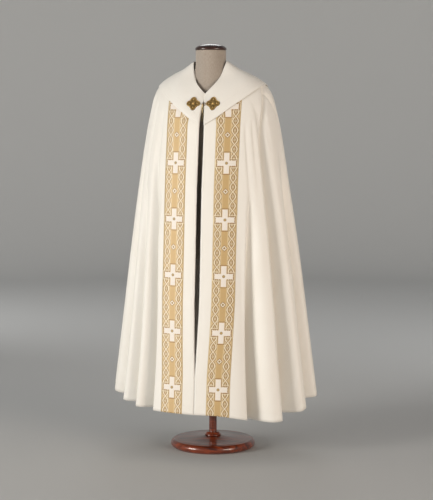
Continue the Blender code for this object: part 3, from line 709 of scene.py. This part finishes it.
# The borders: a row of beads and a dark selvedge line.
border = add(tree, "ShaderNodeMath", {0: off, 1: BORDER}, operation="GREATER_THAN")
border_line = add(tree, "ShaderNodeMath", {0: off, 1: BORDER, 2: 0.6}, operation="COMPARE")
bead_along = add(tree, "ShaderNodeMath", {0: in_mm.outputs["Y"], 1: BEAD_SPACING / 2},
                 operation="PINGPONG")
bead_off = add(tree, "ShaderNodeMath", {0: off, 1: BORDER + 2.2}, operation="SUBTRACT")
square = add(tree, "ShaderNodeMath", {0: bead_along, 1: bead_along}, operation="MULTIPLY")
square = add(tree, "ShaderNodeMath", {0: bead_off, 1: bead_off, 2: square}, operation="MULTIPLY_ADD")
bead = add(tree, "ShaderNodeMath", {0: square, 1: 2.2}, operation="LESS_THAN")

# The layers of colour, each woven over the gold ground and the layers before it.
layers = (
    # mask, share of it that shows, colour
    (specks, 0.80, "ead7a8"),
    (add(tree, "ShaderNodeMath", {0: vein, 1: side_column}, operation="MULTIPLY"), 0.50, "f0e2c0"),
    (add(tree, "ShaderNodeMath", {0: scroll_ground, 1: side_column}, operation="MULTIPLY"), 0.60,
     "a17b46"),
    (add(tree, "ShaderNodeMath", {0: strand_edge, 1: side_column}, operation="MULTIPLY"), 0.85,
     "966e3c"),
    (add(tree, "ShaderNodeMath", {0: cream_work, 1: side_column}, operation="MULTIPLY"), 0.95,
     "f6ead0"),
    (middle, 0.62, "cfac74"),
    (middle_line, 0.80, "f0dfb6"),
    (border, 0.75, "ceb07a"),
    (border_line, 0.55, "a5834e"),
    (bead, 0.95, "f2e2bc"),
    (add(tree, "ShaderNodeMath", {0: frame_line, 1: side_column}, operation="MULTIPLY"), 0.90,
     "f4e7c8"),
    (rosette_edge, 0.85, "976f3c"),
    (rosette, 1.0, "fbf3e2"),
    (rosette_dot, 1.0, "9c7a43"),
    (cross_ground, 0.85, "976f3f"),
    (cross, 1.0, "f8f0e6"),
    (eye, 1.0, "bfa263"),
    (eye_ring, 0.80, "8e7240"),
)
colour = linear("cba670")
for mask, share, over in layers:
    weight = add(tree, "ShaderNodeMath", {0: mask, 1: share}, operation="MULTIPLY")
    woven = add(tree, "ShaderNodeMix", {"Factor": weight, "A": colour, "B": linear(over)},
                data_type="RGBA").node
    colour = woven.outputs["Result"]
threads = add(tree, "ShaderNodeMapping", {"Vector": cloth_map, "Scale": (1500.0, 380.0, 1.0)})
thread = add(tree, "ShaderNodeTexNoise", {"Vector": threads, "Scale": 1.0, "Detail": 2.0})
glint = add(tree, "ShaderNodeMapRange", {"Value": thread, "From Min": 0.35, "From Max": 0.70,
                                         "To Min": 0.90, "To Max": 1.10})
shaded = add(tree, "ShaderNodeVectorMath", {0: colour, "Scale": glint}, operation="SCALE")
tree.links.new(shaded, shader.inputs["Base Color"])
gold_share = add(tree, "ShaderNodeMapRange", {"Value": cross, "To Min": 0.08, "To Max": 0.0})
tree.links.new(gold_share, shader.inputs["Metallic"])
relief = add(tree, "ShaderNodeMath", {0: cream_work, 1: cross}, operation="MAXIMUM")
relief = add(tree, "ShaderNodeMath", {0: relief, 1: rosette}, operation="MAXIMUM")
relief = add(tree, "ShaderNodeMath", {0: relief, 1: bead}, operation="MAXIMUM")
relief = add(tree, "ShaderNodeMath", {0: ribs, 1: 0.12, 2: relief}, operation="MULTIPLY_ADD")
relief = add(tree, "ShaderNodeMath", {0: thread, 1: 0.6, 2: relief}, operation="MULTIPLY_ADD")
tree.links.new(add(tree, "ShaderNodeBump", {"Height": relief, "Strength": 0.5, "Distance": 0.0005}),
               shader.inputs["Normal"])

for side, folds, name in HALVES:
    def band_surface(level, place, side=side, folds=folds):
        """The satin under the band."""
        return cope_point(side, folds, level, place)

    def band_place(column, row, side=side, surface=band_surface):
        """A point of the band's face, just off the satin."""
        level = BAND_TOP_LEVEL + (HEM - BAND_TOP_LEVEL) * row
        return lifted(surface, level, 1 + column, side, BAND_LIFT)

    def band_map(column, row, surface=band_surface):
        """The pattern's place: metres across the band, and height above the lowest cross."""
        level = BAND_TOP_LEVEL + (HEM - BAND_TOP_LEVEL) * row
        return BAND_WIDTH * column, surface(level, 1 + column).z - FIRST_CROSS

    bm = lay_grid(BAND_COLUMNS, BAND_ROWS, band_place, band_map)
    if side == RIGHT:
        bmesh.ops.reverse_faces(bm, faces=bm.faces[:])
    band = show(f"orphrey_{name}_brocade", bm, brocade, [f"orphrey_{name}"], crease=80.0)
    wall(band, BAND_WALL)

# ---------------------------------------------------------------------------------------------------
# Collar: one shaped piece of the same ivory satin over a firm interlining, which lies on the cope's
# shoulders. It is cut to a point at each shoulder, the front and the back, open at the front, and its
# edges are turned in and stitched.
# ---------------------------------------------------------------------------------------------------

COLLAR_LIFT = 0.0034              # underside above the cope's face
COLLAR_WALL = 0.0020
COLLAR_PLAY = 0.0002              # kept free below it
COLLAR_SEAM = 0.0055              # stitches inside the lower edge
SEAM_GROOVE, SEAM_SPREAD = 0.0006, 0.0016   # how deep and wide the stitches draw it in
EDGE_ROLL, ROLL_SPREAD = 0.0009, 0.0018     # how far its turned edge rolls under
NECK_REACH = 0.075                # middle of the neck to the collar's inner edge, on the cut
COLLAR_FRONT_EDGE = (
    # distance from the middle, height of the lower edge in front
    (0.000, 1.334),
    (0.055, 1.361),
    (0.143, 1.424),
    (0.240, 1.505),
)
COLLAR_BACK_EDGE = (
    # the same behind
    (0.000, 1.290),
    (0.240, 1.505),
)


def collar_edge_level(angle):
    """Level of the cope at which the collar's lower edge lies, found by halving."""
    edge = COLLAR_FRONT_EDGE if math.cos(angle) >= 0 else COLLAR_BACK_EDGE
    low, high = NECKLINE, 7.0
    for _ in range(30):
        middle = (low + high) / 2
        point = smooth_cloth(middle, angle)
        if point.z > step_between(edge, abs(point.x)):
            low = middle
        else:
            high = middle
    return low


COLLAR_COLUMNS, COLLAR_ROWS = 240, 64
EDGE_LEVELS = [collar_edge_level(math.tau * column / COLLAR_COLUMNS)
               for column in range(COLLAR_COLUMNS + 1)]


def collar_face(level, angle, lift):
    """A point above the smooth cope and the outward normal there."""
    small = 0.01
    down = smooth_cloth(level + small, angle) - smooth_cloth(level - small, angle)
    sideways = smooth_cloth(level, angle + small) - smooth_cloth(level, angle - small)
    normal = down.cross(sideways).normalized()
    return smooth_cloth(level, angle) + normal * lift, normal


def collar_place(column, row):
    """Rows lie closer towards the edge, where the stitches draw the cloth in."""
    share = 1 - (1 - row) ** 1.7
    edge_level = EDGE_LEVELS[round(column * COLLAR_COLUMNS)]
    level = edge_level * share
    half_opening = step_between(OPENING, smooth_cloth(level, 0.0).z) / 2
    closest = math.asin(half_opening / ring_at(COPE_RINGS, level)[2])
    angle = closest + (math.tau - 2 * closest) * column
    lift = COLLAR_LIFT + COLLAR_WALL
    point, normal = collar_face(level, angle, lift)
    edge_point, _ = collar_face(edge_level, angle, lift)
    from_edge = (edge_point - point).length
    groove = SEAM_GROOVE * math.exp(-((from_edge - COLLAR_SEAM) / SEAM_SPREAD) ** 2)
    roll = EDGE_ROLL * math.exp(-(from_edge / ROLL_SPREAD) ** 2)
    return point - normal * (groove + roll)


def collar_map(column, row):
    """Straight grain across the whole collar: distance from the neck, laid out flat round it."""
    reach = NECK_REACH + (collar_place(column, row) - collar_place(column, 0.0)).length
    return reach * math.sin(math.tau * column), reach * math.cos(math.tau * column)


bm = lay_grid(COLLAR_COLUMNS, COLLAR_ROWS, collar_place, collar_map)
collar = show("shoulder_collar_satin", bm, satin, ["shoulder_collar"], crease=80.0)
wall(collar, COLLAR_WALL - COLLAR_PLAY)

# ---------------------------------------------------------------------------------------------------
# Clasp plates: two cast brass lozenges with round points, sewn to the collar. Wire rims, domed bosses,
# scrolls and granules were soldered on before the brass was toned dark and rubbed back on its high
# places. The right one mirrors the left one.
# ---------------------------------------------------------------------------------------------------

CLASP_HEIGHT = 1.419
CLASP_SPREAD = 0.0415             # middle of the opening to a plate's middle
PLATE_REACH = 0.0290
PLATE_WALL = 0.0024
PLATE_LIFT = 0.0012
PLATE_RELIEF = 0.0045             # how high the bosses stand
LOBE_REACH, LOBE_RADIUS, LOBE_NOTCH = 0.60, 0.40, 0.74   # shares of the plate's reach
OUTER_RIM, ROPE, INNER_RIM = 0.93, 0.835, 0.74            # shares of its outline
ROPE_GRANULES, RING_GRANULES = 40, 14
OUTER_WIRE, INNER_WIRE, FINE_WIRE, RING_WIRE = 0.0011, 0.0007, 0.0006, 0.0008
ROPE_GRANULE, RING_GRANULE = 0.00115, 0.0010
POINT_BOSS, POINT_RING = 0.0026, 0.0042
MIDDLE_BOSS, MIDDLE_RING, GRANULE_RING = 0.0044, 0.0060, 0.0083
POINT_REACH = 0.58                # where a point's boss sits, as the same share
SCROLL_REACH, SCROLL_RADIUS = 0.0132, 0.0036


def toned_brass(name, dark, light, low, high):
    """Brass, dark in its hollows and rubbed bright on high places, as its "relief" layer says.

    The hook, eye and links have no such layer, so they show only the patches of wear, which are
    about 2.4 mm across.
    """
    made, tree, shader = new_material(name, 0.38, Metallic=1.0)
    where = tree.nodes.new("ShaderNodeTexCoord").outputs["Object"]
    worn = add(tree, "ShaderNodeTexNoise", {"Vector": where, "Scale": 420.0, "Detail": 3.0})
    relief = add(tree, "ShaderNodeAttribute", attribute_name="relief").node
    mixed = add(tree, "ShaderNodeMath", {0: worn, 1: 0.5, 2: relief.outputs["Fac"]},
                operation="MULTIPLY_ADD")
    share = add(tree, "ShaderNodeMapRange", {"Value": mixed, "From Min": low, "From Max": high})
    tone = add(tree, "ShaderNodeMix", {"Factor": share, "A": linear(dark), "B": linear(light)},
               data_type="RGBA").node
    tree.links.new(tone.outputs["Result"], shader.inputs["Base Color"])
    tree.links.new(add(tree, "ShaderNodeMapRange", {"Value": worn, "To Min": 0.28, "To Max": 0.55}),
                   shader.inputs["Roughness"])
    tree.links.new(add(tree, "ShaderNodeBump", {"Height": worn, "Strength": 0.2, "Distance": 0.0002}),
                   shader.inputs["Normal"])
    return made


def add_wire(bm, points, radius, closed, sides=8):
    """Adds a round wire that runs through points to a bmesh."""
    line = bpy.data.curves.new("wire", "CURVE")
    line.dimensions = "3D"
    line.bevel_depth = radius
    line.bevel_resolution = sides // 2 - 2
    line.use_fill_caps = not closed
    spline = line.splines.new("POLY")
    spline.points.add(len(points) - 1)
    for spline_point, spot in zip(spline.points, points):
        spline_point.co = (*spot, 1.0)
    spline.use_cyclic_u = closed
    holder = bpy.data.objects.new("wire", line)
    bpy.context.scene.collection.objects.link(holder)
    bpy.context.view_layer.update()
    mesh = bpy.data.meshes.new_from_object(holder.evaluated_get(bpy.context.evaluated_depsgraph_get()))
    bm.from_mesh(mesh)
    bpy.data.objects.remove(holder, do_unlink=True)
    bpy.data.curves.remove(line)
    bpy.data.meshes.remove(mesh)


def collar_front_at(x, height):
    """Point and normal of the collar's outer face at x and a height, near the front."""
    low, high = 0.0, 4.0
    for _ in range(30):
        level = (low + high) / 2
        angle = math.asin(x / ring_at(COPE_RINGS, level)[2])
        if smooth_cloth(level, angle).z > height:
            low = level
        else:
            high = level
    return collar_face(level, angle % math.tau, COLLAR_LIFT + COLLAR_WALL)


def plate_edge(bend, share=1.0, height=0.0):
    """A point of the plate's outline, drawn in by a share: four round lobes on a small square."""
    off_axis = abs((bend + math.pi / 4) % (math.pi / 2) - math.pi / 4)
    half_chord = LOBE_RADIUS ** 2 - (LOBE_REACH * math.sin(off_axis)) ** 2
    reach = max(LOBE_REACH * math.cos(off_axis) + math.sqrt(max(half_chord, 0.0)), LOBE_NOTCH)
    return Vector((math.cos(bend), math.sin(bend), 0)) * (PLATE_REACH * reach * share) \
        + Vector((0, 0, height))


def ring_of(centre, radius, height, steps=20):
    """Points of a level ring."""
    return [centre + Vector((radius * math.cos(math.tau * step / steps),
                             radius * math.sin(math.tau * step / steps), height))
            for step in range(steps)]


# Cast brass, toned and rubbed back: olive brown in the hollows, bright gold on rims and bosses.
plate_brass = toned_brass("toned_cast_brass", "46341a", "ecc884", 0.52, 1.02)
for side, name in ((LEFT, "left"), (RIGHT, "right")):
    bm = bmesh.new()
    bmesh.ops.create_circle(bm, cap_ends=True, segments=72, radius=PLATE_REACH)
    for vert in bm.verts:
        vert.co = plate_edge(math.atan2(vert.co.y, vert.co.x))
    face = PLATE_WALL * 0.75
    pushed = bmesh.ops.extrude_face_region(bm, geom=bm.faces[:], use_keep_orig=True)
    raised = [item for item in pushed["geom"] if isinstance(item, bmesh.types.BMVert)]
    bmesh.ops.translate(bm, verts=raised, vec=(0, 0, face))
    bmesh.ops.scale(bm, verts=raised, vec=(0.96, 0.96, 1.0))

    # Two rims, and a rope of granules between them.
    turns = [math.tau * step / 96 for step in range(96)]
    add_wire(bm, [plate_edge(turn, OUTER_RIM, face + 0.0004) for turn in turns], OUTER_WIRE, True)
    add_wire(bm, [plate_edge(turn, INNER_RIM, face + 0.0002) for turn in turns], INNER_WIRE, True)
    for step in range(ROPE_GRANULES):
        granule = bmesh.ops.create_uvsphere(bm, u_segments=8, v_segments=6, radius=ROPE_GRANULE)
        bmesh.ops.translate(bm, verts=granule["verts"],
                            vec=plate_edge(math.tau * step / ROPE_GRANULES, ROPE, face + 0.0006))

    # A domed boss in a ring at each point, and a larger one in the middle of a ring of granules.
    for step in range(4):
        spot = plate_edge(math.tau * step / 4, POINT_REACH)
        dome = bmesh.ops.create_uvsphere(bm, u_segments=16, v_segments=10, radius=POINT_BOSS)
        bmesh.ops.translate(bm, verts=dome["verts"], vec=spot + Vector((0, 0, face)))
        add_wire(bm, ring_of(spot, POINT_RING, face + 0.0003), FINE_WIRE, True)
    dome = bmesh.ops.create_uvsphere(bm, u_segments=20, v_segments=12, radius=MIDDLE_BOSS)
    bmesh.ops.scale(bm, verts=dome["verts"], vec=(1, 1, 0.8))
    bmesh.ops.translate(bm, verts=dome["verts"], vec=(0, 0, face))
    add_wire(bm, ring_of(Vector(), MIDDLE_RING, face + 0.0004, 32), RING_WIRE, True)
    for step in range(RING_GRANULES):
        bend = math.tau * (step + 0.5) / RING_GRANULES
        granule = bmesh.ops.create_uvsphere(bm, u_segments=8, v_segments=6, radius=RING_GRANULE)
        bmesh.ops.translate(bm, verts=granule["verts"],
                            vec=(GRANULE_RING * math.cos(bend), GRANULE_RING * math.sin(bend),
                                 face + 0.0005))

    # A pair of scrolls in each of the four hollows between the points.
    for step in range(4):
        diagonal = math.tau * (step + 0.5) / 4
        for hand in (1, -1):
            scroll = []
            for turn in range(22):
                winding = turn / 21
                bend = diagonal + hand * (0.62 - 2.4 * math.pi * winding)
                middle = Vector((math.cos(diagonal + hand * 0.21), math.sin(diagonal + hand * 0.21), 0))
                reach = SCROLL_RADIUS * (1 - 0.78 * winding)
                scroll.append(middle * SCROLL_REACH
                              + Vector((reach * math.cos(bend), reach * math.sin(bend), face + 0.0004)))
            add_wire(bm, scroll, FINE_WIRE, False, 6)

    # The relief layer, then the plate is turned to lie on the collar.
    relief = bm.verts.layers.float.new("relief")
    for vert in bm.verts:
        vert[relief] = min(max(vert.co.z / PLATE_RELIEF, 0.0), 1.0)
        vert.co.x *= side
    bmesh.ops.recalc_face_normals(bm, faces=bm.faces[:])
    centre, normal = collar_front_at(side * CLASP_SPREAD, CLASP_HEIGHT)
    across = Vector((0, 0, 1)).cross(normal).normalized()
    turn = Matrix((across, normal.cross(across), normal)).transposed().to_4x4()
    turn.translation = centre + normal * PLATE_LIFT
    bm.transform(turn)
    show(f"clasp_plate_{name}_brass", bm, plate_brass, [f"clasp_plate_{name}"],
         crease=50.0)

# ---------------------------------------------------------------------------------------------------
# Hook, eye and chain: brass wire, bent round and soldered. The hook on the wearer's right plate goes
# through the eye on the left one, and six links hang from its shank and swing as one short chain.
# ---------------------------------------------------------------------------------------------------

WIRE_RADIUS = 0.0009
EYE_STAND_OFF = 0.0070            # from the collar's face forward to the eye
EYE_X, EYE_RADIUS = 0.0066, 0.0050
HOOK_REACH = 0.0028
LINK_WIRE_RADIUS = 0.0008
LINK_HALF_LENGTH, LINK_HALF_WIDTH = 0.0066, 0.0032
LINK_COUNT = 6
LINK_PLAY = 0.0002                # gap where two wires meet

# Drawn brass wire: the hook and eye are toned a dull brown, the links are rubbed bright.
wire_brass = toned_brass("toned_brass_wire", "5a4526", "b8965a", 0.0, 0.60)
link_brass = toned_brass("rubbed_brass_wire", "d2b272", "fff0c4", 0.0, 0.40)

eye_y = collar_front_at(0.0, CLASP_HEIGHT)[0].y - EYE_STAND_OFF
bm = bmesh.new()
add_wire(bm, [Vector((EYE_X + EYE_RADIUS * math.cos(math.tau * step / 40), eye_y,
                      CLASP_HEIGHT + EYE_RADIUS * math.sin(math.tau * step / 40)))
              for step in range(40)], WIRE_RADIUS, True, 12)
show("clasp_eye_ring", bm, wire_brass, ["clasp_eye"])

# The hook's shank runs level from the right plate, and its end bends back through the eye.
front_y = eye_y - HOOK_REACH
held_x = EYE_X - EYE_RADIUS
hook = [(PLATE_REACH - CLASP_SPREAD + 0.0003, front_y, CLASP_HEIGHT),
        (-0.006, front_y, CLASP_HEIGHT), (-0.002, front_y, CLASP_HEIGHT)]
for step in range(17):
    bend = math.pi * step / 16
    hook.append((held_x + HOOK_REACH * math.sin(bend), eye_y - HOOK_REACH * math.cos(bend),
                 CLASP_HEIGHT))
bm = bmesh.new()
add_wire(bm, hook, WIRE_RADIUS, False, 12)
show("clasp_hook_wire", bm, wire_brass, ["clasp_hook"])

# The links hang below the shank and stand crosswise in turn.
pivot_x = -0.0015
pitch = 2 * LINK_HALF_LENGTH - 2 * LINK_WIRE_RADIUS - LINK_PLAY
first_drop = LINK_HALF_LENGTH - WIRE_RADIUS - LINK_WIRE_RADIUS - LINK_PLAY
bend_centre = LINK_HALF_LENGTH - LINK_HALF_WIDTH
for number in range(LINK_COUNT):
    middle_z = CLASP_HEIGHT - first_drop - number * pitch
    link = []
    for end in (1, -1):
        for step in range(13):
            bend = math.pi * step / 12
            width = LINK_HALF_WIDTH * math.cos(bend) * end
            height = (bend_centre + LINK_HALF_WIDTH * math.sin(bend)) * end
            turned = number % 2 == 0
            link.append((pivot_x + (0 if turned else width), front_y + (width if turned else 0),
                         middle_z + height))
    bm = bmesh.new()
    add_wire(bm, link, LINK_WIRE_RADIUS, True, 10)
    show(f"chain_link_{number + 1}_wire", bm, link_brass, [f"chain_link_{number + 1}"],
         body="chain")

# ---------------------------------------------------------------------------------------------------
# Room: a pale grey studio cove, whose floor curves up into a wall all round. A broad soft light stands
# at the front left, a weaker warm one at the right and one high behind, and two light the wall.
# ---------------------------------------------------------------------------------------------------

COVE_RADIUS, COVE_BEND, COVE_HEIGHT = 9.0, 2.5, 7.0

# Matt wall paint: a plain pale grey without any gloss.
painted, tree, shader = new_material("cove_matt_paint", 0.95)
shader.inputs["Base Color"].default_value = linear("d0d1d0")
shader.inputs["Specular IOR Level"].default_value = 0.1
outline = [(0.0, 0.0), (COVE_RADIUS - COVE_BEND, 0.0)]
for step in range(1, 17):
    bend = math.pi / 2 * step / 16
    outline.append((COVE_RADIUS - COVE_BEND + COVE_BEND * math.sin(bend),
                    COVE_BEND - COVE_BEND * math.cos(bend)))
outline.append((COVE_RADIUS, COVE_HEIGHT))
bm = turn_on_lathe(outline, 96)
bmesh.ops.recalc_face_normals(bm, faces=bm.faces[:])
bmesh.ops.reverse_faces(bm, faces=bm.faces[:])
mesh = bpy.data.meshes.new("studio_cove")
bm.to_mesh(mesh)
bm.free()
mesh.materials.append(painted)
mesh.shade_smooth()
cove = bpy.data.objects.new("studio_cove", mesh)
bpy.context.scene.collection.objects.link(cove)

world = bpy.data.worlds.new("studio_air")
bpy.context.scene.world = world
world.use_nodes = True
world.node_tree.nodes["Background"].inputs["Color"].default_value = linear("f2f3f6")
world.node_tree.nodes["Background"].inputs["Strength"].default_value = 0.24

LAMPS = (
    # name, place, look-at, width, height, watts, colour
    ("key_softbox", (-4.2, -4.8, 1.60), (0.0, 0.0, 1.1), 2.4, 2.6, 262.0, "fffaf3"),
    ("fill_softbox", (5.2, -3.0, 1.35), (0.0, 0.0, 1.1), 2.6, 2.2, 146.0, "ffeddc"),
    ("back_softbox", (-1.2, 3.6, 4.1), (0.0, 0.0, 1.4), 1.6, 1.2, 18.0, "ffffff"),
    ("wall_lamp_left", (-3.6, 2.0, 1.9), (-2.7, 8.4, 2.0), 1.2, 1.6, 30.0, "ffffff"),
    ("wall_lamp_right", (2.6, 2.5, 1.9), (-2.7, 8.4, 2.0), 1.2, 1.6, 30.0, "ffffff"),
)
for name, spot, aim, width, height, watts, colour in LAMPS:
    lamp = bpy.data.lights.new(name, "AREA")
    lamp.shape = "RECTANGLE"
    lamp.size = width
    lamp.size_y = height
    lamp.energy = watts
    lamp.color = linear(colour)[:3]
    holder = bpy.data.objects.new(name, lamp)
    bpy.context.scene.collection.objects.link(holder)
    holder.location = spot
    holder.rotation_euler = (Vector(aim) - Vector(spot)).to_track_quat("-Z", "Y").to_euler()

# The camera stands in front, 18 degrees towards the wearer's left, with a long lens.
camera_data = bpy.data.cameras.new("camera")
camera_data.lens = 105
camera_data.sensor_width = 36
camera = bpy.data.objects.new("camera", camera_data)
bpy.context.scene.collection.objects.link(camera)
camera.location = (1.854, -5.706, 1.35)
look_at = Vector((0.014, 0.005, 0.821))
camera.rotation_euler = (look_at - camera.location).to_track_quat("-Z", "Y").to_euler()
bpy.context.scene.camera = camera
bpy.context.scene.view_settings.view_transform = "Standard"   # keeps white cloth bright
